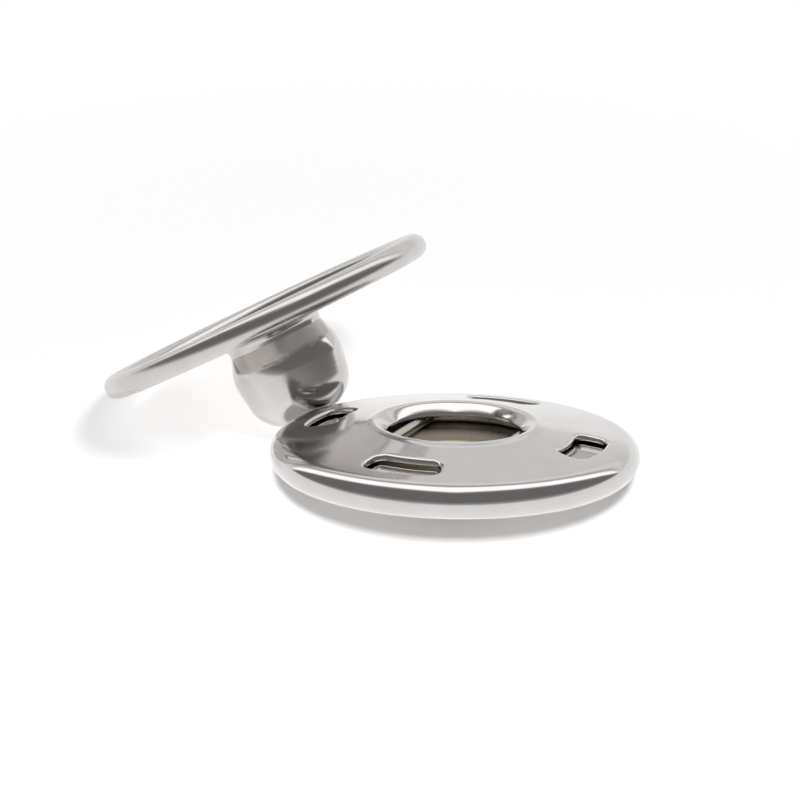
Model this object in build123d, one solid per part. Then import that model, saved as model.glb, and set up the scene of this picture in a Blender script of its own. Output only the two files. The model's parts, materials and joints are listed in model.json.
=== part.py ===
from build123d import *
from math import acos, asin, atan2, cos, degrees, hypot, radians, sin, sqrt, tan
import os

# Sew-on snap fastener of stamped sheet: a socket half and a stud half, lying as they come to rest.
# Each half is two sheets locked together by the curled rim of the front one, with four sewing slots.
# The socket holds a bent wire spring under the turned-in lip of its mouth.
# Sizes are in millimetres and degrees, +Z is up and the floor is at zero.

# Both halves
disc_diameter = 25.0
sheet = 0.4
seam_gap = 0.05
slot_count = 4
slot_land = 2.2
slot_length = 5.0
slot_width = 2.1
slot_corner = 0.55
slot_round = 0.33
back_slot_margin = 0.25
back_slot_corner = 0.2

# Socket half
socket_rim = 2.43
socket_fall = 9.0
mouth_radius = 4.5
lip_radius = 0.7
lip_rise = 0.1
lip_foot = 2.0
socket_plate_gap = 0.25
boss_radius = 4.7
boss_depth = 3.06
seat_angle = 25.0
seat_step = 0.5
seat_margin = 0.45
bend_radius = 0.45
nested_curl = 150.0

# Wire spring
wire = 0.75
wire_play = 0.04
arm_gap = 6.85
bow_radius = 6.2
wire_bend = 1.2

# Stud half
stud_rim = 1.7
stud_fall = 1.5
stud_plate_gap = 0.05
neck_radius = 3.5
neck_length = 0.95
belly_radius = 4.12
belly_height = 2.6
crown_radius = 3.5
stud_height = 7.0
neck_round = 0.5
crease_round = 0.3
belly_round = 3.0
shoulder_round = 2.6
collar_length = 0.8

# How the two halves lie
socket_slot_turn = -22.5
socket_low_side = 87.85
stud_slot_turn = 20.0
stud_low_side = 137.35
bearing = 134.85
halves_gap = 0.06


# The rim and the sloping face, which both halves share. A sheet's middle line lies some depth under
# the outer surface, and every point is a radius and a height over the back of the rim.

def rim_centre(rim):
    return disc_diameter / 2 - rim / 2


def face_end(rim, fall, depth):
    """Where a middle line leaves the sloping face for the round of the rim."""
    round_radius = rim / 2 - depth
    radius = rim_centre(rim) + round_radius * sin(radians(fall))
    return (radius, rim / 2 + round_radius * cos(radians(fall)))


def face_point(rim, fall, depth, radius):
    """A point of a middle line on the sloping face."""
    end_radius, end_height = face_end(rim, fall, depth)
    return (radius, end_height + (end_radius - radius) * tan(radians(fall)))


def fall_direction(fall):
    return (cos(radians(fall)), -sin(radians(fall)))


def curl_turn(rim, plate_gap):
    """How far the front sheet curls round, until its edge comes up under the back plate."""
    plate_underside = rim / 2 - 2 * sheet - plate_gap - seam_gap
    return 270 + degrees(asin(plate_underside / (rim / 2)))


def revolved_sheet(path):
    """Sheet of even thickness about the half's axis, from the middle line of its section."""
    with BuildSketch(Plane.XZ) as section:
        trace(path.line.edges(), sheet)
    return revolve(section.sketch, Axis.Z)


def slot_radius():
    return disc_diameter / 2 - slot_land - slot_width / 2


def sewing_slots(turn, margin, corner):
    """The curved slots with their rounded corners, as one cutter that goes through the sheet."""
    half_sweep = degrees((slot_length / 2 - margin) / slot_radius())
    with BuildPart() as cutter:
        with BuildSketch() as slots:
            for index in range(slot_count):
                first = turn + index * 360 / slot_count - half_sweep
                with BuildLine(mode=Mode.PRIVATE):
                    middle = CenterArc((0, 0), slot_radius(), first, 2 * half_sweep)
                trace(middle, slot_width - 2 * margin)
            fillet(slots.vertices(), corner)
        extrude(amount=disc_diameter / 2, both=True)
    return cutter.part


def front_slots(shell, turn, rim, fall):
    """Cuts the slots in a front sheet, with the edge drawn in round each of them."""
    slotted = shell - sewing_slots(turn, 0, slot_corner)
    drawn = []
    for edge in slotted.edges():
        middle = edge.center()
        reach = hypot(middle.X, middle.Y)
        near_slot = abs(reach - slot_radius()) < slot_width / 2 + sheet / 2
        outer_face = middle.Z > face_point(rim, fall, sheet / 4, reach)[1]
        if near_slot and outer_face:
            drawn.append(edge)
    return fillet(drawn, slot_round)


# Socket front: drawn sheet with a raised, turned-in lip round its mouth

def lip_centre():
    """Centre of the lip's round, which meets the mouth and rises a little over the face."""
    radius = mouth_radius + sheet / 2 + lip_radius
    on_face = face_point(socket_rim, socket_fall, sheet / 2, radius)
    return (radius, on_face[1] - (lip_radius - lip_rise) / cos(radians(socket_fall)))


def foot_turn():
    """How far the lip's hollow foot turns, to come down by the lip's rise."""
    return degrees(acos(1 - lip_rise / (lip_radius + lip_foot)))


def socket_front():
    face = face_end(socket_rim, socket_fall, sheet / 2)
    lip = lip_centre()
    with BuildLine() as path:
        turned_in = JernArc(
            start=(lip[0] - lip_radius, lip[1]),
            tangent=(0, 1),
            radius=lip_radius,
            arc_size=-90 - socket_fall - foot_turn(),
        )
        foot = JernArc(
            start=turned_in @ 1, tangent=turned_in % 1, radius=lip_foot, arc_size=foot_turn()
        )
        Line(foot @ 1, face)
        JernArc(
            start=face,
            tangent=fall_direction(socket_fall),
            radius=socket_rim / 2 - sheet / 2,
            arc_size=-curl_turn(socket_rim, socket_plate_gap),
        )
    shell = revolved_sheet(path)
    return front_slots(shell, socket_slot_turn, socket_rim, socket_fall)


# Socket back: plate nested in the front sheet, with a seat for the wire and a domed boss for the stud

def wire_height():
    return lip_centre()[1] - wire_play - wire / 2


def seat_point(radius):
    """A point on the middle line of the sloping seat, which passes just under the wire."""
    under = wire / 2 + wire_play + sheet / 2
    foot_radius = bow_radius + under * sin(radians(seat_angle))
    foot_height = wire_height() - under * cos(radians(seat_angle))
    return (radius, foot_height + (radius - foot_radius) * tan(radians(seat_angle)))


def boss_middle():
    return (0, boss_radius - boss_depth)


def boss_bend():
    """Where the boss's wall bends over to the seat: the middle of the bend's round."""
    reach = boss_radius - sheet / 2 + bend_radius
    slope = tan(radians(seat_angle))
    offset = seat_point(0)[1] - bend_radius / cos(radians(seat_angle)) - boss_middle()[1]
    root = sqrt(reach**2 * (1 + slope**2) - offset**2)
    radius = (root - offset * slope) / (1 + slope**2)
    return (radius, boss_middle()[1] + offset + slope * radius)


def socket_back():
    depth = sheet * 1.5 + socket_plate_gap
    bend_at = boss_bend()
    wall_turn = degrees(atan2(bend_at[0], boss_middle()[1] - bend_at[1]))
    seat_edge = seat_point(bow_radius + wire / 2 + seat_margin)
    step_top = face_point(socket_rim, socket_fall, depth, seat_edge[0] + seat_step)
    face = face_end(socket_rim, socket_fall, depth)
    with BuildLine() as path:
        boss = CenterArc(boss_middle(), boss_radius - sheet / 2, -90, wall_turn)
        bend = JernArc(
            start=boss @ 1,
            tangent=boss % 1,
            radius=bend_radius,
            arc_size=seat_angle - wall_turn,
        )
        FilletPolyline(bend @ 1, seat_edge, step_top, face, radius=bend_radius)
        JernArc(
            start=face,
            tangent=fall_direction(socket_fall),
            radius=socket_rim / 2 - depth,
            arc_size=-nested_curl,
        )
    plate = revolved_sheet(path)
    return plate - sewing_slots(socket_slot_turn, back_slot_margin, back_slot_corner)


# Wire spring: two straight arms beside the mouth, joined by a bow that follows the seat

def spring_wire():
    arm = arm_gap / 2 + wire / 2
    bend_middle = sqrt((bow_radius - wire_bend) ** 2 - (arm - wire_bend) ** 2)
    bend_turn = degrees(atan2(bend_middle, arm - wire_bend))
    arm_end = sqrt((bow_radius + wire / 2) ** 2 - (arm + wire / 2) ** 2) - wire / 2
    with BuildLine() as path:
        first = Line((arm, -arm_end), (arm, bend_middle))
        bend = JernArc(start=first @ 1, tangent=(0, 1), radius=wire_bend, arc_size=bend_turn)
        bow = JernArc(
            start=bend @ 1, tangent=bend % 1, radius=bow_radius, arc_size=180 - 2 * bend_turn
        )
        other = JernArc(start=bow @ 1, tangent=bow % 1, radius=wire_bend, arc_size=bend_turn)
        Line(other @ 1, (-arm, -arm_end))
    round_wire = Plane(origin=first @ 0, z_dir=(0, 1, 0)) * Circle(wire / 2)
    bent = sweep(round_wire, path=path.line)
    return Location((0, 0, wire_height())) * Rotation(0, 0, socket_slot_turn) * bent


# Stud front: drawn sheet with the hollow stud in one piece

def stud_front():
    half = sheet / 2
    face = face_end(stud_rim, stud_fall, half)
    with BuildLine() as path:
        FilletPolyline(
            (0, stud_rim + stud_height - half),
            (crown_radius - half, stud_rim + stud_height - half),
            (belly_radius - half, stud_rim + belly_height),
            (neck_radius - half, stud_rim + neck_length),
            face_point(stud_rim, stud_fall, half, neck_radius - half),
            face,
            radius=[
                shoulder_round - half,
                belly_round - half,
                crease_round,
                neck_round + half,
            ],
        )
        JernArc(
            start=face,
            tangent=fall_direction(stud_fall),
            radius=stud_rim / 2 - half,
            arc_size=-curl_turn(stud_rim, stud_plate_gap),
        )
    shell = revolved_sheet(path)
    return front_slots(shell, stud_slot_turn, stud_rim, stud_fall)


# Stud back: plate held by the curl, with a collar that centres it in the hollow stud

def stud_back():
    depth = sheet * 1.5 + stud_plate_gap
    collar = neck_radius - depth
    corner = face_point(stud_rim, stud_fall, depth, collar)
    with BuildLine() as path:
        FilletPolyline(
            (collar, corner[1] + neck_round + depth + collar_length),
            corner,
            face_point(stud_rim, stud_fall, depth, rim_centre(stud_rim)),
            radius=neck_round + depth,
        )
    plate = revolved_sheet(path)
    return plate - sewing_slots(stud_slot_turn, back_slot_margin, back_slot_corner)


# How each half comes to rest, on the low side of its rim and on its round boss or shoulder

def rest_tilt(rim, along, ball, off_axis):
    """Tilt at which a rim and a ball both touch the floor.

    The ball's middle is this far along the axis from the rim's centre, and this far off the axis.
    """
    across = rim_centre(rim) - off_axis
    sink = ball - rim / 2
    return degrees(asin(sink / hypot(across, along)) + atan2(along, across))


def rest_height(rim, tilt):
    """Height of the rim's centre over the floor."""
    return rim_centre(rim) * sin(radians(tilt)) + rim / 2


def turned(low_side, lean):
    """Leans a half over towards one side, without turning it about its own axis."""
    return Rotation(0, 0, low_side) * Rotation(0, lean, 0) * Rotation(0, 0, -low_side)


def socket_place():
    boss_along = socket_rim / 2 + boss_depth - boss_radius
    tilt = rest_tilt(socket_rim, boss_along, boss_radius, 0)
    centre = Location((0, 0, rest_height(socket_rim, tilt)))
    return centre * turned(socket_low_side, tilt) * Location((0, 0, -socket_rim / 2))


def shoulder_off_axis():
    """How far the middle of the shoulder's round lies from the stud's axis."""
    half = sheet / 2
    flank = atan2(belly_radius - crown_radius, stud_height - half - belly_height)
    return crown_radius - half - (shoulder_round - half) * (1 - sin(flank)) / cos(flank)


def stud_place():
    shoulder_along = stud_rim / 2 + stud_height - shoulder_round
    tilt = rest_tilt(stud_rim, shoulder_along, shoulder_round, shoulder_off_axis())
    axis_side = radians(stud_low_side - 180)
    belly_lean = (stud_rim / 2 + belly_height) * sin(radians(tilt))
    reach = disc_diameter / 2 + belly_radius + halves_gap
    x = reach * cos(radians(bearing)) - belly_lean * cos(axis_side)
    y = reach * sin(radians(bearing)) - belly_lean * sin(axis_side)
    centre = Location((x, y, rest_height(stud_rim, tilt)))
    return centre * turned(stud_low_side - 180, 180 - tilt) * Location((0, 0, -stud_rim / 2))


socket_half = {
    "socket_front": socket_front(),
    "socket_back": socket_back(),
    "spring_wire": spring_wire(),
}
stud_half = {
    "stud_front": stud_front(),
    "stud_back": stud_back(),
}

pieces = {}
for name, piece in socket_half.items():
    pieces[name] = socket_place() * piece
for name, piece in stud_half.items():
    pieces[name] = stud_place() * piece

# The origin is on the floor, under the middle of the pair's box
box = Compound(list(pieces.values())).bounding_box()
to_origin = Location((-box.center().X, -box.center().Y, -box.min.Z))

os.makedirs("parts", exist_ok=True)
for name, piece in pieces.items():
    placed = to_origin * piece
    placed.label = name
    export_step(placed, f"parts/{name}.step")
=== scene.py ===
import json
import math

import bmesh
import bpy
import numpy as np
from mathutils import Matrix, Vector


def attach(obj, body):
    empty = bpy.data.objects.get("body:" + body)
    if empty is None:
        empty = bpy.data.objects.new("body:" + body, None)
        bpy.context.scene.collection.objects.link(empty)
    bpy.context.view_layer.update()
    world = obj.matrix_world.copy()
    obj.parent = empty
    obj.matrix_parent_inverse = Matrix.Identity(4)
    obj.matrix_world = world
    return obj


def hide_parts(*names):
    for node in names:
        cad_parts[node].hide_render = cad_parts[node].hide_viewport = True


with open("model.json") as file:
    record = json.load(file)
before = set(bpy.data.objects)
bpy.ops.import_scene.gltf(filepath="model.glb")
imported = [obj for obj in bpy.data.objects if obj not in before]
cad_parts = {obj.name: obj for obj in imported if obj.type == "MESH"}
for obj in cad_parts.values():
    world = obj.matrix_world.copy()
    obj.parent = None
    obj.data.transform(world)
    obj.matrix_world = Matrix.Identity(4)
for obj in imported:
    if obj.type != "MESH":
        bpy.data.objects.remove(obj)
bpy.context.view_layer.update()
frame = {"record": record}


# Socket front
# The socket's face: one disc of steel sheet, drawn, with a lip turned in round its mouth, four
# sewing slots pierced and their edges drawn in. Its rim is curled round the back plate and holds
# the whole half together.

# Sizes are in millimetres and degrees.
MM = 0.001
DISC = 25.0
SHEET = 0.4
SEAM_GAP = 0.05
COLUMNS = 192
SLOT_COUNT = 4
SLOT_RADIUS = 9.25
SLOT_LENGTH = 5.0
SLOT_WIDTH = 2.1
SLOT_CORNER = 0.8
SLOT_ZONE = (6.9, 11.2)
SLOT_EDGE_ROUND = (0.3, 0.32)
CUT_CORNER = 0.08
SOCKET_RIM = 2.43
SOCKET_FALL = 9.0
MOUTH_RADIUS = 4.5
LIP_RADIUS = 0.7
LIP_RISE = 0.1
LIP_FOOT = 2.0
# The nearly flat part of the lip's roll: its first and last heading, and its radius.
LIP_FLAT = (50.0, 35.0, 2.5)
SOCKET_PLATE_GAP = 0.25
SOCKET_TURN = -22.5


def along_arc(centre, radius, first, last, steps):
    """Samples of a round in a section: radius, height and the heading of travel, in degrees."""
    side = 90 if last > first else -90
    samples = []
    for angle in np.linspace(first, last, steps + 1):
        turn = math.radians(angle)
        point = (centre[0] + radius * math.cos(turn), centre[1] + radius * math.sin(turn))
        samples.append((*point, angle + side))
    return samples


def face_end(rim, fall, depth):
    """Where a line this deep in the sheet leaves the sloping face for the rim's round."""
    turn = math.radians(fall)
    round_radius = rim / 2 - depth
    return (
        DISC / 2 - rim / 2 + round_radius * math.sin(turn),
        rim / 2 + round_radius * math.cos(turn),
    )


def face_point(rim, fall, depth, radius):
    """A point this deep in the sheet on the sloping face."""
    end = face_end(rim, fall, depth)
    return (radius, end[1] + (end[0] - radius) * math.tan(math.radians(fall)))


def curled_rim(rim, fall, depth, turn, steps):
    """Samples of the rim's round, from the face outward and under."""
    centre = (DISC / 2 - rim / 2, rim / 2)
    return along_arc(centre, rim / 2 - depth, 90 - fall, 90 - fall - turn, steps)


def full_curl(rim, plate_gap):
    """How far the front sheet's rim curls, until its edge comes up under the back plate."""
    underside = rim / 2 - 2 * SHEET - plate_gap - SEAM_GAP
    return 270 + math.degrees(math.asin(underside / (rim / 2)))


def with_slot_zone(line, zone):
    """Adds samples where the straight face enters and leaves the slots' zone."""
    for k in range(len(line) - 1):
        (r0, z0, heading), (r1, z1, _) = line[k], line[k + 1]
        if r0 < zone[0] and r1 > zone[1]:
            cuts = []
            for r in zone:
                cuts.append((r, z0 + (z1 - z0) * (r - r0) / (r1 - r0), heading))
            return line[: k + 1] + cuts + line[k + 1 :], k + 1
    raise ValueError("the face has no straight part as wide as the slots' zone")


def offset(sample, distance):
    """The point beside a sample, on the side of the outer surface where distance is positive."""
    r, z, heading = sample
    turn = math.radians(heading)
    return (r - distance * math.sin(turn), z + distance * math.cos(turn))


def cut_edge(sample, forward):
    """The cut end of a sheet, its two corners worn round, from the outer to the under side."""
    corner = CUT_CORNER
    r, z, heading = sample
    turn = math.radians(heading)
    ahead = (forward * math.cos(turn), forward * math.sin(turn))
    points = []
    for side in (1, -1):
        for step in (0, 30, 60, 90)[::side]:
            bend = math.radians(step)
            across = side * (SHEET / 2 - corner + corner * math.cos(bend))
            reach = corner * (math.sin(bend) - 1)
            base = offset(sample, across)
            points.append((base[0] + reach * ahead[0], base[1] + reach * ahead[1]))
    return points


def slot_outline(along, across, half, corner):
    """Where a ray from a slot's middle meets its outline, as a corner's middle and a normal."""
    core = (half[0] - corner, half[1] - corner)
    c, s = along / math.hypot(along, across), across / math.hypot(along, across)
    reach = min(half[0] / max(abs(c), 1e-9), half[1] / max(abs(s), 1e-9))
    if abs(c) * reach > core[0] and abs(s) * reach > core[1]:
        dot = core[0] * abs(c) + core[1] * abs(s)
        reach = dot + math.sqrt(dot * dot - core[0] ** 2 - core[1] ** 2 + corner**2)
    point = (c * reach, s * reach)
    foot = [max(-limit, min(limit, value)) for limit, value in zip(core, point)]
    return foot, [(value - base) / corner for value, base in zip(point, foot)]


def slot_loops(zone, slots, levels, turn):
    """Loops of plan points round one slot: out from its edge by each level, then to its zone."""
    per_slot = COLUMNS // SLOT_COUNT
    sweep = np.radians(np.linspace(-45, 45, per_slot + 1))
    side = np.linspace(zone[1], zone[0], 11)[1:-1]
    border = [(a, zone[1]) for a in sweep]
    border += [(sweep[-1], r) for r in side]
    border += [(a, zone[0]) for a in sweep[::-1]]
    border += [(sweep[0], r) for r in side[::-1]]
    loops = [[] for _ in levels]
    shares = np.linspace(0, 1, 8)[1:]
    outward = [[] for _ in shares]
    for angle, r in border:
        goal = (angle * SLOT_RADIUS, r - SLOT_RADIUS)
        foot, normal = slot_outline(*goal, slots["half"], slots["corner"])
        for ring, level in zip(loops, levels):
            out = slots["corner"] + level
            ring.append((foot[0] + normal[0] * out, foot[1] + normal[1] * out))
        last = loops[-1][-1]
        for ring, share in zip(outward, shares):
            ring.append(tuple(a + (b - a) * share for a, b in zip(last, goal)))
    bent = []
    for ring in loops + outward:
        polar = [(turn + u / SLOT_RADIUS, SLOT_RADIUS + v) for u, v in ring]
        bent.append([(r * math.cos(a), r * math.sin(a)) for a, r in polar])
    return bent


def clear_of_ends(line, gap=0.11):
    """Leaves out samples so near an end of the sheet that they would fold into its cut edge."""
    first, last = line[0], line[-1]
    kept = [first]
    for sample in line[1:-1]:
        near_first = first[0] > 0 and math.dist(sample[:2], first[:2]) < gap
        if not near_first and math.dist(sample[:2], last[:2]) > gap:
            kept.append(sample)
    return kept + [last]


def pressed_sheet(name, line, slots, place):
    """A sheet turned about its half's axis, from its middle line, with its sewing slots.

    The section runs over the outer side, round the far edge and back along the under side. Where
    the line starts off the axis, the sheet has a cut edge there too.
    """
    line, enters = with_slot_zone(clear_of_ends(line), slots["zone"])
    upper = [offset(sample, SHEET / 2) for sample in line]
    under = [offset(sample, -SHEET / 2) for sample in line]
    far = cut_edge(line[-1], 1)
    starts_on_axis = line[0][0] < 1e-6
    first = 0 if starts_on_axis else 1
    section = upper[first:-1] + far + under[first:-1][::-1]
    if first:
        section += cut_edge(line[0], -1)[::-1]
    rows = len(section)
    # The slots open between these rows of the section and the next ones.
    outer_row = enters - first
    under_row = len(upper) - 1 - first + len(far) + len(upper) - 3 - enters
    angles = np.radians(slots["turn"] + 45 + np.arange(COLUMNS) * 360 / COLUMNS)
    vertices, faces = [], []
    for r, z in section:
        vertices += [(r * math.cos(a), r * math.sin(a), z) for a in angles]
    for k in range(rows - 1 + first):
        if k in (outer_row, under_row):
            continue
        after = (k + 1) % rows
        for j in range(COLUMNS):
            n = (j + 1) % COLUMNS
            faces.append(
                (k * COLUMNS + j, k * COLUMNS + n, after * COLUMNS + n, after * COLUMNS + j)
            )
    sides = (
        (section[outer_row], section[outer_row + 1], slots["outer"], -1),
        (section[under_row + 1], section[under_row], slots["under"], 1),
    )
    for index in range(SLOT_COUNT):
        turn = math.radians(slots["turn"] + index * 360 / SLOT_COUNT)
        rims = []
        for inner, outer, profile, away in sides:
            loops = slot_loops((inner[0], outer[0]), slots, [p[0] for p in profile], turn)
            drops = [p[1] for p in profile] + [0.0] * len(loops)
            slope = (outer[1] - inner[1]) / (outer[0] - inner[0])
            base, count = len(vertices), len(loops[0])
            for ring, drop in zip(loops, drops):
                for x, y in ring:
                    z = inner[1] + slope * (math.hypot(x, y) - inner[0])
                    vertices.append((x, y, z + away * drop))
            for start in range(base, len(vertices) - count, count):
                for j in range(count):
                    n = (j + 1) % count
                    faces.append((start + j, start + n, start + count + n, start + count + j))
            rims.append(base)
        for j in range(count):
            n = (j + 1) % count
            faces.append((rims[0] + j, rims[0] + n, rims[1] + n, rims[1] + j))
    grain = []
    for x, y, z in vertices:
        angle = math.atan2(y, x)
        drift = 1.5 * math.sin(angle) + 0.7 * math.cos(2 * angle)
        grain.append((math.hypot(x, y), z, drift))
    return closed_mesh(name, vertices, faces, place, grain)


def closed_mesh(name, vertices, faces, place, grain):
    """A smooth-shaded object from its half's own points in millimetres, put where it lies.

    The grain keeps coordinates that follow how the piece was worked: round the axis for a drawn
    sheet (radius, height and a slow drift), along the length for a wire.
    """
    mesh = bpy.data.meshes.new(name)
    mesh.from_pydata([place @ (Vector(v) * MM) for v in vertices], [], faces)
    along = mesh.attributes.new("grain", "FLOAT_VECTOR", "POINT")
    along.data.foreach_set("vector", np.array(grain).ravel())
    joined = bmesh.new()
    joined.from_mesh(mesh)
    bmesh.ops.remove_doubles(joined, verts=joined.verts, dist=0.0002 * MM)
    bmesh.ops.recalc_face_normals(joined, faces=joined.faces)
    joined.to_mesh(mesh)
    joined.free()
    mesh.shade_smooth()
    piece = bpy.data.objects.new(name, mesh)
    bpy.context.scene.collection.objects.link(piece)
    return piece


def half_place(mount_name):
    """Where a half lies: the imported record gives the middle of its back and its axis."""
    for mount in frame["record"]["mounts"]:
        if mount["name"] == mount_name:
            axis = -Vector(mount["axis"])
            lean = Vector((0, 0, 1)).rotation_difference(axis)
            return Matrix.Translation(mount["pos_m"]) @ lean.to_matrix().to_4x4()
    raise ValueError("the packed record has no mount " + mount_name)


def linear(hex_colour):
    """A hex colour as Blender's linear colour."""
    channels = []
    for k in (1, 3, 5):
        value = int(hex_colour[k : k + 2], 16) / 255
        channels.append(value / 12.92 if value <= 0.04045 else ((value + 0.055) / 1.055) ** 2.4)
    return (*channels, 1.0)


def add_node(tree, kind, settings=None, inputs=None):
    """Adds a node, sets it, and gives its inputs values or other nodes' outputs."""
    node = tree.nodes.new(kind)
    for key, value in (settings or {}).items():
        setattr(node, key, value)
    for key, value in (inputs or {}).items():
        if isinstance(value, bpy.types.NodeSocket):
            tree.links.new(value, node.inputs[key])
        else:
            node.inputs[key].default_value = value
    return node


def blank_material(name):
    """A material with its shader and output, and its node tree."""
    material = bpy.data.materials.new(name)
    material.use_nodes = True
    tree = material.node_tree
    tree.nodes.clear()
    shader = add_node(tree, "ShaderNodeBsdfPrincipled")
    output = add_node(tree, "ShaderNodeOutputMaterial")
    tree.links.new(shader.outputs["BSDF"], output.inputs["Surface"])
    return material, tree, shader


def scaled(tree, vector, scale):
    """A vector output, stretched along its axes."""
    inputs = {"Vector": vector, "Scale": scale}
    return add_node(tree, "ShaderNodeMapping", inputs=inputs).outputs["Vector"]


def noise(tree, vector, scale, detail):
    """Noise read at a vector output."""
    inputs = {"Vector": vector, "Scale": scale, "Detail": detail}
    return add_node(tree, "ShaderNodeTexNoise", inputs=inputs).outputs["Fac"]


def ranged(tree, value, span, onto, interpolation="LINEAR"):
    """A value carried from one span onto another, and held inside it."""
    inputs = {"Value": value, "From Min": span[0], "From Max": span[1]}
    inputs.update({"To Min": onto[0], "To Max": onto[1]})
    settings = {"interpolation_type": interpolation}
    return add_node(tree, "ShaderNodeMapRange", settings, inputs).outputs["Result"]


def computed(tree, operation, *values, clamp=False):
    """The result of arithmetic on numbers and other nodes' outputs."""
    settings = {"operation": operation, "use_clamp": clamp}
    return add_node(tree, "ShaderNodeMath", settings, dict(enumerate(values))).outputs[0]


def mixed(tree, share, first, second):
    """A colour between two others. The node numbers its colour inputs 6 and 7, its result 2."""
    inputs = {"Factor": share, 6: first, 7: second}
    return add_node(tree, "ShaderNodeMix", {"data_type": "RGBA"}, inputs).outputs[2]


def bumped(tree, height, micrometres, under=None):
    """A normal bent by a height, on top of another bump's normal where one is given."""
    inputs = {"Height": height, "Strength": 1.0, "Distance": micrometres * 1e-6}
    if under is not None:
        inputs["Normal"] = under
    return add_node(tree, "ShaderNodeBump", inputs=inputs).outputs["Normal"]


# Scales are in cycles a millimetre. Satin and the painted brown reflection fade out over these
# heights and radii.
HAZE_SCALE = 0.55
WAVE_SCALE = 0.4
MARK_SCALE = (6.0, 6.0, 1.5)
SATIN_BELOW = (1.9, 2.7)
PAINTED_REFLECTION_WITHIN = (4.9, 5.6)
# The colour of a painted reflection: the warm brown that the boss shows round the axis.
PAINTED_REFLECTION_BROWN = "#B3A798"


def nickel_plate(name, colours, roughness, wave_um, marks_um, satin=0.0, painted_brown=0.0):
    """Bright nickel over drawn steel sheet, barrel polished.

    The plating follows the drawn sheet, so reflections swim a little where the sheet has moved in
    the press. Rolling in the barrel leaves fine marks round the disc, some 0.05 mm apart and drawn
    coarser here, which spread a reflection across them. Satin dulls a half's disc and leaves what
    Satin dulls a half's disc and leaves what stands above it bright. Round the axis the colour is
    painted brown, a painted reflection of a warm surround, and the metal takes a diffuse share.
    """
    material, tree, shader = blank_material(name)
    place = add_node(tree, "ShaderNodeTexCoord").outputs["Object"]
    in_mm = scaled(tree, place, (1 / MM, 1 / MM, 1 / MM))
    haze = noise(tree, in_mm, HAZE_SCALE, 5.0)
    waves = noise(tree, in_mm, WAVE_SCALE, 2.0)
    grain = add_node(tree, "ShaderNodeAttribute", {"attribute_name": "grain"}).outputs["Vector"]
    marks = noise(tree, scaled(tree, grain, MARK_SCALE), 1.0, 1.0)
    axial = add_node(tree, "ShaderNodeSeparateXYZ", inputs={"Vector": grain})
    colour = mixed(tree, haze, linear(colours[0]), linear(colours[1]))
    polish = ranged(tree, haze, (0.3, 0.7), roughness)
    duller = ranged(tree, axial.outputs["Y"], SATIN_BELOW, (satin, 0.0))
    tree.links.new(computed(tree, "ADD", polish, duller), shader.inputs["Roughness"])
    swim = bumped(tree, waves, wave_um)
    tree.links.new(bumped(tree, marks, marks_um, swim), shader.inputs["Normal"])
    # Painted reflection: round the axis the colour turns brown, and the metal takes a diffuse share
    # that the lamps light.
    if painted_brown:
        painted_brown_share = ranged(tree, axial.outputs["X"], PAINTED_REFLECTION_WITHIN, (1.0, 0.0))
        colour = mixed(tree, painted_brown_share, colour, linear(PAINTED_REFLECTION_BROWN))
        metal = computed(tree, "MULTIPLY_ADD", painted_brown_share, -painted_brown, 1.0)
        tree.links.new(metal, shader.inputs["Metallic"])
    else:
        shader.inputs["Metallic"].default_value = 1.0
    tree.links.new(colour, shader.inputs["Base Color"])
    return material


def drawn_edge(across, down, steps=7, flat=0.12):
    """How a slot's edge rounds over: distances out from the slot, and drops below the face.

    A narrow flat ring follows the round, so that smooth shading doesn't bend the face beside it.
    """
    profile = []
    for step in range(steps + 1):
        bend = math.radians(90 * (1 - step / steps))
        profile.append((across * (1 - math.sin(bend)), down * (1 - math.cos(bend))))
    return profile + [(across + flat, 0.0)]


def rolled_lip(centre, last):
    """The lip's roll from its cut edge out to its foot, in three bends that meet end to end.

    The press leaves the middle one nearly flat, a funnel that shows as a pale band on the far side.
    """
    headings = (90, LIP_FLAT[0], LIP_FLAT[1], last)
    turns = [math.radians(heading) for heading in headings]
    spans = []
    for before, after in zip(turns, turns[1:]):
        spans.append((math.sin(before) - math.sin(after), math.cos(after) - math.cos(before)))
    whole = np.array((1 - math.sin(turns[3]), math.cos(turns[3]))) * LIP_RADIUS
    flat = np.array(spans[1]) * LIP_FLAT[2]
    tight = np.linalg.solve(np.array((spans[0], spans[2])).T, whole - flat)
    line = []
    at = np.array((centre[0] - LIP_RADIUS, centre[1]))
    for radius, start, end in zip((tight[0], LIP_FLAT[2], tight[1]), headings, headings[1:]):
        turn = math.radians(start)
        middle = at + radius * np.array((math.sin(turn), -math.cos(turn)))
        line += along_arc(middle, radius, start + 90, end + 90, 12)[1 if line else 0 :]
        at = np.array(line[-1][:2])
    return line


socket_place = half_place("socket_slots")
lip_at = MOUTH_RADIUS + SHEET / 2 + LIP_RADIUS
lip_face = face_point(SOCKET_RIM, SOCKET_FALL, SHEET / 2, lip_at)
lip_height = lip_face[1] - (LIP_RADIUS - LIP_RISE) / math.cos(math.radians(SOCKET_FALL))
foot_turn = math.degrees(math.acos(1 - LIP_RISE / (LIP_RADIUS + LIP_FOOT)))
foot_start = 90 - SOCKET_FALL - foot_turn
to_foot = (LIP_RADIUS + LIP_FOOT) * np.array(
    (math.cos(math.radians(foot_start)), math.sin(math.radians(foot_start)))
)
foot_at = (lip_at + to_foot[0], lip_height + to_foot[1])
front_line = rolled_lip((lip_at, lip_height), foot_start - 90)
front_line += along_arc(foot_at, LIP_FOOT, foot_start + 180, 270 - SOCKET_FALL, 10)[1:]
front_curl = full_curl(SOCKET_RIM, SOCKET_PLATE_GAP)
front_line += curled_rim(SOCKET_RIM, SOCKET_FALL, SHEET / 2, front_curl, 60)
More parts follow.
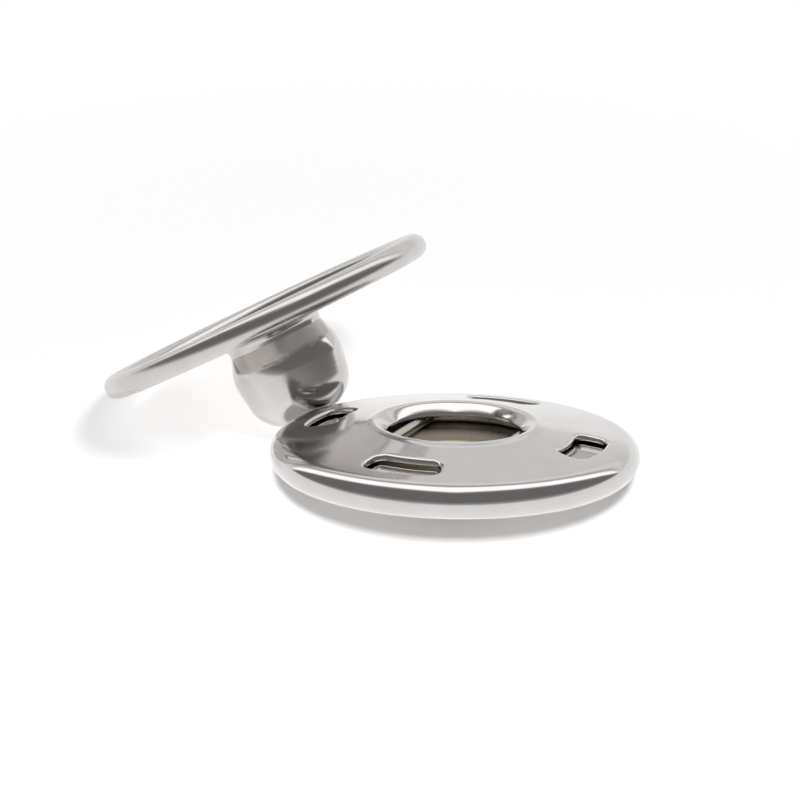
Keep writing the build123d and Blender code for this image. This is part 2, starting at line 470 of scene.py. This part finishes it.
front_slots = {
    "turn": SOCKET_TURN,
    "zone": SLOT_ZONE,
    "half": (SLOT_LENGTH / 2, SLOT_WIDTH / 2),
    "corner": SLOT_CORNER,
    "outer": drawn_edge(*SLOT_EDGE_ROUND),
    "under": [(0.0, 0.02), (0.03, 0.0)],
}
socket_front = pressed_sheet("socket_face", front_line, front_slots, socket_place)
# The side that shows is polished longest, so it mirrors the room sharply.
bright_nickel = nickel_plate(
    "nickel_plated_drawn_steel", ("#D7D5D4", "#CCC9C7"), (0.08, 0.14), wave_um=6.0, marks_um=1.5
)
socket_front.data.materials.append(bright_nickel)
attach(socket_front, "root")
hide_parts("socket_front")


# Spring wire
# The spring is one length of drawn spring wire, bent cold into two straight arms and a bow. It
# lies loose under the lip, in the seat of the back plate, and its arms grip the stud's neck.

WIRE = 0.75
WIRE_PLAY = 0.04
ARM_GAP = 6.85
BOW_RADIUS = 6.2
WIRE_BEND = 1.2
WIRE_END_CORNER = 0.14
WIRE_SIDES = 32
# Cycles a millimetre along the wire and across it.
STREAK_SCALE = (0.35, 9.0, 9.0)
wire_height = lip_height - WIRE_PLAY - WIRE / 2


def wire_line():
    """Plan samples along the wire's middle: x, y and heading in degrees."""
    arm = (ARM_GAP + WIRE) / 2
    rise = math.sqrt((BOW_RADIUS - WIRE_BEND) ** 2 - (arm - WIRE_BEND) ** 2)
    bend = math.degrees(math.atan2(rise, arm - WIRE_BEND))
    end = math.sqrt((BOW_RADIUS + WIRE / 2) ** 2 - (arm + WIRE / 2) ** 2) - WIRE / 2
    line = [(arm, y, 90.0) for y in np.linspace(-end, rise, 14)]
    line += along_arc((arm - WIRE_BEND, rise), WIRE_BEND, 0, bend, 12)[1:]
    line += along_arc((0, 0), BOW_RADIUS, bend, 180 - bend, 40)[1:]
    line += along_arc((WIRE_BEND - arm, rise), WIRE_BEND, 180 - bend, 180, 12)[1:]
    line += [(-arm, y, 270.0) for y in np.linspace(rise, -end, 14)[1:]]
    return line


def wire_mesh(name, place):
    """Round wire along its line, its two cut ends worn round."""
    line = wire_line()
    sides, corner = WIRE_SIDES, WIRE_END_CORNER
    rings = []
    for index, forward in ((0, -1), (-1, 1)):
        x, y, heading = line[index]
        turn = math.radians(heading)
        cap = []
        for step in (90, 60, 30, 0):
            bend = math.radians(step)
            reach = forward * corner * (math.sin(bend) - 1)
            radius = WIRE / 2 - corner + corner * math.cos(bend)
            point = (x + reach * math.cos(turn), y + reach * math.sin(turn), heading)
            cap.append((point, radius))
        rings.append(cap)
    body = [(sample, WIRE / 2) for sample in line[1:-1]]
    rings = rings[0] + body + rings[1][::-1]
    vertices, faces, grain = [], [], []
    run, before = 0.0, rings[0][0]
    for (x, y, heading), radius in rings:
        turn = math.radians(heading)
        run += math.dist((x, y), before[:2])
        before = (x, y)
        for side in range(sides):
            a = 2 * math.pi * side / sides
            across, up = radius * math.cos(a), radius * math.sin(a)
            spot = (x - across * math.sin(turn), y + across * math.cos(turn), wire_height + up)
            vertices.append(spot)
            grain.append((run, across, up))
    for k in range(len(rings) - 1):
        for j in range(sides):
            n = (j + 1) % sides
            faces.append((k * sides + j, k * sides + n, (k + 1) * sides + n, (k + 1) * sides + j))
    faces.append(tuple(range(sides)))
    last = (len(rings) - 1) * sides
    faces.append(tuple(range(last, last + sides)))
    return closed_mesh(name, vertices, faces, place, grain)


def drawn_wire_steel(name):
    """Spring steel wire, drawn through a die and left bright.

    The die leaves long fine streaks along the wire, some 0.02 mm wide, drawn coarser to show, so
    its highlight is soft across and sharp along.
    """
    material, tree, shader = blank_material(name)
    grain = add_node(tree, "ShaderNodeAttribute", {"attribute_name": "grain"}).outputs["Vector"]
    streaks = noise(tree, scaled(tree, grain, STREAK_SCALE), 1.0, 3.0)
    colour = mixed(tree, streaks, linear("#D6D2CB"), linear("#ACA79F"))
    tree.links.new(colour, shader.inputs["Base Color"])
    roughness = ranged(tree, streaks, (0.0, 1.0), (0.16, 0.38))
    tree.links.new(roughness, shader.inputs["Roughness"])
    tree.links.new(bumped(tree, streaks, 8.0), shader.inputs["Normal"])
    shader.inputs["Metallic"].default_value = 1.0
    return material


arms_turned = Matrix.Rotation(math.radians(SOCKET_TURN), 4, "Z")
spring = wire_mesh("spring_in_its_seat", socket_place @ arms_turned)
spring.data.materials.append(drawn_wire_steel("bright_drawn_spring_steel"))
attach(spring, "root")
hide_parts("spring_wire")


# Socket back
# The back plate is a second drawn disc of plated sheet, nested in the front one. Its middle is
# domed out to take the stud, its shoulder is the wire's seat, and the front's curl holds its edge.

BOSS_RADIUS = 4.7
BOSS_DEPTH = 3.06
SEAT_SLOPE = 25.0
SEAT_STEP = 0.5
SEAT_MARGIN = 0.45
PLATE_BEND = 0.45
NESTED_CURL = 150.0
BACK_SLOT_MARGIN = 0.25
BACK_SLOT_CORNER = 0.2
BACK_SLOT_ZONE = (7.86, 10.6)
BACK_SLOT_EDGE_ROUND = (0.08, 0.08)


def along_corners(points, radii, steps=10):
    """Samples along straight runs whose corners are bent round."""
    start, after = points[:2]
    heading = math.degrees(math.atan2(after[1] - start[1], after[0] - start[0]))
    samples = [(*start, heading)]
    for before, corner, after, radius in zip(points, points[1:], points[2:], radii):
        into = math.atan2(corner[1] - before[1], corner[0] - before[0])
        out = math.atan2(after[1] - corner[1], after[0] - corner[0])
        turn = (out - into + math.pi) % (2 * math.pi) - math.pi
        side = math.copysign(1.0, turn)
        back = radius * math.tan(abs(turn) / 2)
        start = (corner[0] - back * math.cos(into), corner[1] - back * math.sin(into))
        centre = (
            start[0] - side * radius * math.sin(into),
            start[1] + side * radius * math.cos(into),
        )
        angle = math.degrees(into) - 90 * side
        samples += along_arc(centre, radius, angle, angle + math.degrees(turn), steps)
    before, end = points[-2:]
    heading = math.degrees(math.atan2(end[1] - before[1], end[0] - before[0]))
    return samples + [(*end, heading)]


def seat_point(radius):
    """A point of the plate's middle line on the wire's seat."""
    slope = math.radians(SEAT_SLOPE)
    under = WIRE / 2 + WIRE_PLAY + SHEET / 2
    foot = (BOW_RADIUS + under * math.sin(slope), wire_height - under * math.cos(slope))
    return (radius, foot[1] + (radius - foot[0]) * math.tan(slope))


def socket_back_line():
    """The plate's middle line: dome, bend, seat, step up to the face, face and nested edge."""
    depth = SHEET * 1.5 + SOCKET_PLATE_GAP
    dome, middle = BOSS_RADIUS - SHEET / 2, BOSS_RADIUS - BOSS_DEPTH
    slope = math.radians(SEAT_SLOPE)
    rise = seat_point(0)[1] - PLATE_BEND / math.cos(slope) - middle
    steep = math.tan(slope)
    root = math.sqrt((dome + PLATE_BEND) ** 2 * (1 + steep**2) - rise**2)
    bend_r = (root - rise * steep) / (1 + steep**2)
    bend_at = (bend_r, middle + rise + steep * bend_r)
    wall = math.degrees(math.atan2(bend_r, middle - bend_at[1]))
    line = along_arc((0, middle), dome, -90, wall - 90, 40)[:-1]
    line += along_arc(bend_at, PLATE_BEND, 90 + wall, 90 + SEAT_SLOPE, 10)[:-1]
    seat_edge = seat_point(BOW_RADIUS + WIRE / 2 + SEAT_MARGIN)
    corners = [
        (bend_r - PLATE_BEND * math.sin(slope), bend_at[1] + PLATE_BEND * math.cos(slope)),
        seat_edge,
        face_point(SOCKET_RIM, SOCKET_FALL, depth, seat_edge[0] + SEAT_STEP),
        face_end(SOCKET_RIM, SOCKET_FALL, depth),
    ]
    line += along_corners(corners, [PLATE_BEND] * 2)[:-1]
    return line + curled_rim(SOCKET_RIM, SOCKET_FALL, depth, NESTED_CURL, 30)


back_slots = {
    "turn": SOCKET_TURN,
    "zone": BACK_SLOT_ZONE,
    "half": (SLOT_LENGTH / 2 - BACK_SLOT_MARGIN, SLOT_WIDTH / 2 - BACK_SLOT_MARGIN),
    "corner": BACK_SLOT_CORNER,
    "outer": drawn_edge(*BACK_SLOT_EDGE_ROUND, steps=4),
    "under": [(0.0, 0.06), (0.02, 0.02), (0.06, 0.0)],
}
socket_back = pressed_sheet("socket_back_plate", socket_back_line(), back_slots, socket_place)
# Polish doesn't reach into the boss, so its plating is dull. Its brownish tint round the axis is a
# painted reflection of a warm surround, seen through the mouth.
boss_nickel = nickel_plate(
    "nickel_plated_sheet_dull_with_painted_brown_inside",
    ("#D0CCC8", "#C5C0BB"),
    (0.2, 0.3),
    wave_um=4.0,
    marks_um=1.5,
    painted_brown=0.36,
)
socket_back.data.materials.append(boss_nickel)
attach(socket_back, "root")
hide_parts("socket_back")


# Stud front
# The other half's face and its hollow stud are drawn from one disc of plated sheet. The stud
# swells above its neck, where the socket's spring will hold it.

STUD_RIM = 1.7
STUD_FALL = 1.5
STUD_TURN = 20.0
STUD_PLATE_GAP = 0.05
NECK_RADIUS = 3.5
NECK_LENGTH = 0.95
NECK_ROUND = 0.5
CREASE_ROUND = 0.3
BELLY_RADIUS = 4.12
BELLY_HEIGHT = 2.6
BELLY_ROUND = 3.0
CROWN_RADIUS = 3.5
STUD_HEIGHT = 7.0
SHOULDER_ROUND = 2.6


def stud_line():
    """The stud sheet's middle line, from the crown down the stud and out over the face."""
    half = SHEET / 2
    corners = [
        (0, STUD_RIM + STUD_HEIGHT - half),
        (CROWN_RADIUS - half, STUD_RIM + STUD_HEIGHT - half),
        (BELLY_RADIUS - half, STUD_RIM + BELLY_HEIGHT),
        (NECK_RADIUS - half, STUD_RIM + NECK_LENGTH),
        face_point(STUD_RIM, STUD_FALL, half, NECK_RADIUS - half),
        face_end(STUD_RIM, STUD_FALL, half),
    ]
    radii = [SHOULDER_ROUND - half, BELLY_ROUND - half, CREASE_ROUND, NECK_ROUND + half]
    line = along_corners(corners, radii, 18)[:-1]
    return line + curled_rim(STUD_RIM, STUD_FALL, half, full_curl(STUD_RIM, STUD_PLATE_GAP), 54)


stud_place = half_place("stud_slots")
stud_slots = dict(front_slots, turn=STUD_TURN)
stud_front = pressed_sheet("stud_face", stud_line(), stud_slots, stud_place)
# The deep draw leaves the stud wavy under its polish, and the flat disc round it is more satin.
deep_nickel = nickel_plate(
    "nickel_plated_deep_drawn_steel",
    ("#D4D1CF", "#C7C3C0"),
    (0.12, 0.18),
    wave_um=16.0,
    marks_um=3.0,
    satin=0.1,
)
stud_front.data.materials.append(deep_nickel)
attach(stud_front, "root")
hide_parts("stud_front")


# Stud back
# A plain back plate of plated sheet closes the stud half. Its collar centres it in the hollow
# stud, and the front's curl holds its edge.

COLLAR_LENGTH = 0.8


def stud_back_line():
    """The plate's middle line, from the collar's end out to the plate's edge."""
    depth = SHEET * 1.5 + STUD_PLATE_GAP
    collar = NECK_RADIUS - depth
    corner = face_point(STUD_RIM, STUD_FALL, depth, collar)
    top = (collar, corner[1] + NECK_ROUND + depth + COLLAR_LENGTH)
    edge = face_point(STUD_RIM, STUD_FALL, depth, DISC / 2 - STUD_RIM / 2)
    return along_corners([top, corner, edge], [NECK_ROUND + depth], 14)


stud_back_slots = dict(back_slots, turn=STUD_TURN)
stud_back = pressed_sheet("stud_back_plate", stud_back_line(), stud_back_slots, stud_place)
# A back is polished least, so what it mirrors is blurred.
satin_nickel = nickel_plate(
    "nickel_plated_back_sheet", ("#D0CCC8", "#C5C0BB"), (0.18, 0.27), wave_um=4.0, marks_um=1.5
)
stud_back.data.materials.append(satin_nickel)
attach(stud_back, "root")
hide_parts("stud_back")


# Floor and light
# A white paper floor under two soft lamps, as small metal goods are photographed. Each lamp casts
# one half's shadow. The room round the table is seen only in the metal, as pale and dark bands.

# The floor is in metres. It turns plain white between these distances from its middle.
FLOOR_REACH = 2.0
PLAIN_WHITE_FROM = (0.034, 0.07)
ROOM_GAIN = 1.58
ROOM_ARCH = -0.6
# Each stop is an angle in degrees, from the back over the top to the front, and a brightness.
ROOM = (
    (0, 0.54),
    (18, 0.50),
    (28, 0.60),
    (42, 0.60),
    (50, 0.33),
    (60, 0.33),
    (67, 1.0),
    (94, 1.0),
    (103, 0.2),
    (112, 0.12),
    (162, 0.12),
    (174, 0.25),
    (180, 0.58),
)
AMBIENT = 0.05

floor_mesh = bpy.data.meshes.new("paper_floor")
floor_signs = ((-1, -1), (1, -1), (1, 1), (-1, 1))
floor_corners = [(x * FLOOR_REACH, y * FLOOR_REACH, 0) for x, y in floor_signs]
floor_mesh.from_pydata(floor_corners, [], [(0, 1, 2, 3)])
floor = bpy.data.objects.new("paper_floor", floor_mesh)
bpy.context.scene.collection.objects.link(floor)


def seen_direct(tree):
    """One where a ray comes from the camera or from metal, and nought for the light itself."""
    path = add_node(tree, "ShaderNodeLightPath").outputs
    sight = computed(tree, "ADD", path["Is Camera Ray"], path["Is Glossy Ray"], clamp=True)
    return computed(tree, "ADD", sight, path["Is Transmission Ray"], clamp=True)


# Matt white paper: it takes the soft shadows close to the pair, and is plain white further off.
paper, paper_tree, paper_shader = blank_material("white_paper")
paper_shader.inputs["Base Color"].default_value = linear("#F2F2F2")
paper_shader.inputs["Roughness"].default_value = 0.9
paper_shader.inputs["Specular IOR Level"].default_value = 0.1
glow = add_node(paper_tree, "ShaderNodeEmission", inputs={"Color": (1, 1, 1, 1), "Strength": 1.0})
spot = add_node(paper_tree, "ShaderNodeNewGeometry").outputs["Position"]
distance = add_node(paper_tree, "ShaderNodeVectorMath", {"operation": "LENGTH"}, {0: spot})
away = ranged(paper_tree, distance.outputs["Value"], PLAIN_WHITE_FROM, (0.0, 1.0), "SMOOTHSTEP")
share = computed(paper_tree, "MULTIPLY", seen_direct(paper_tree), away)
both = add_node(
    paper_tree,
    "ShaderNodeMixShader",
    inputs={0: share, 1: paper_shader.outputs["BSDF"], 2: glow.outputs["Emission"]},
)
paper_out = [n for n in paper_tree.nodes if n.bl_idname == "ShaderNodeOutputMaterial"][0]
paper_tree.links.new(both.outputs[0], paper_out.inputs["Surface"])
floor_mesh.materials.append(paper)

world = bpy.data.worlds.new("studio")
bpy.context.scene.world = world
world.use_nodes = True
sky = world.node_tree
sky.nodes.clear()


def plain(colour, strength=1.0):
    """A background of one colour."""
    inputs = {"Color": colour, "Strength": strength}
    return add_node(sky, "ShaderNodeBackground", inputs=inputs).outputs[0]


def either(share, first, second):
    """The first background, or the second where the share is one."""
    return add_node(sky, "ShaderNodeMixShader", inputs={0: share, 1: first, 2: second}).outputs[0]


# The room's bands arch over the table from left to right.
facing = add_node(sky, "ShaderNodeTexCoord").outputs["Generated"]
parts = add_node(sky, "ShaderNodeSeparateXYZ", inputs={"Vector": facing}).outputs
sideways = computed(sky, "ABSOLUTE", parts["X"])
arched = computed(sky, "MULTIPLY_ADD", sideways, ROOM_ARCH, parts["Y"])
half_turn = computed(sky, "DIVIDE", computed(sky, "ARCTAN2", parts["Z"], arched), math.pi)
bands = add_node(sky, "ShaderNodeValToRGB", inputs={"Fac": half_turn})
stops = bands.color_ramp.elements
for angle, level in ROOM:
    if angle in (0, 180):
        stop = stops[0 if angle == 0 else len(stops) - 1]
    else:
        stop = stops.new(angle / 180)
    stop.color = (level, level, level, 1)

ray = add_node(sky, "ShaderNodeLightPath").outputs
from_lens = computed(sky, "SUBTRACT", ray["Is Glossy Ray"], ray["Diffuse Depth"], clamp=True)
ambient = plain((AMBIENT, AMBIENT, AMBIENT, 1))
mirrored = plain(bands.outputs["Color"], ROOM_GAIN)
unseen = either(from_lens, ambient, mirrored)
shown = either(ray["Is Camera Ray"], unseen, plain((1, 1, 1, 1)))
add_node(sky, "ShaderNodeOutputWorld", inputs={"Surface": shown})


def soft_lamp(name, at, width, watts, shadows_of):
    """A square softbox aimed at the pair, in metres, which casts only these pieces' shadows.

    It isn't seen in the metal, where the room's bands stand for it.
    """
    lamp = bpy.data.lights.new(name, "AREA")
    lamp.shape = "RECTANGLE"
    lamp.size = lamp.size_y = width
    lamp.energy = watts
    box = bpy.data.objects.new(name, lamp)
    bpy.context.scene.collection.objects.link(box)
    box.location = at
    box.rotation_mode = "QUATERNION"
    box.rotation_quaternion = (-Vector(at)).to_track_quat("-Z", "Y")
    box.visible_glossy = False
    blockers = bpy.data.collections.new(name + "_blockers")
    for piece in shadows_of:
        blockers.objects.link(piece)
    box.light_linking.blocker_collection = blockers


soft_lamp("front_softbox", (0.0, -1.68, 1.48), 0.18, 60.0, [socket_front, socket_back, spring])
soft_lamp("side_softbox", (0.98, -0.84, 2.0), 0.5, 20.0, [stud_front, stud_back])


# Camera
# A long lens a fifth of a metre off, looking down at the pair from the front by 30.4 degrees, as
# the photograph's outlines fit best.

CAMERA_AT = (0.002382, -0.175346, 0.10758)
CAMERA_PITCH = 59.6
LENS_MM = 131.85
SENSOR_MM = 36.0

lens = bpy.data.cameras.new("camera")
lens.sensor_width = SENSOR_MM
lens.lens = LENS_MM
lens.clip_start = 0.01
lens.clip_end = 10.0
camera = bpy.data.objects.new("camera", lens)
bpy.context.scene.collection.objects.link(camera)
camera.location = CAMERA_AT
camera.rotation_euler = (math.radians(CAMERA_PITCH), 0, 0)
bpy.context.scene.camera = camera

bpy.context.scene.view_settings.view_transform = "Standard"
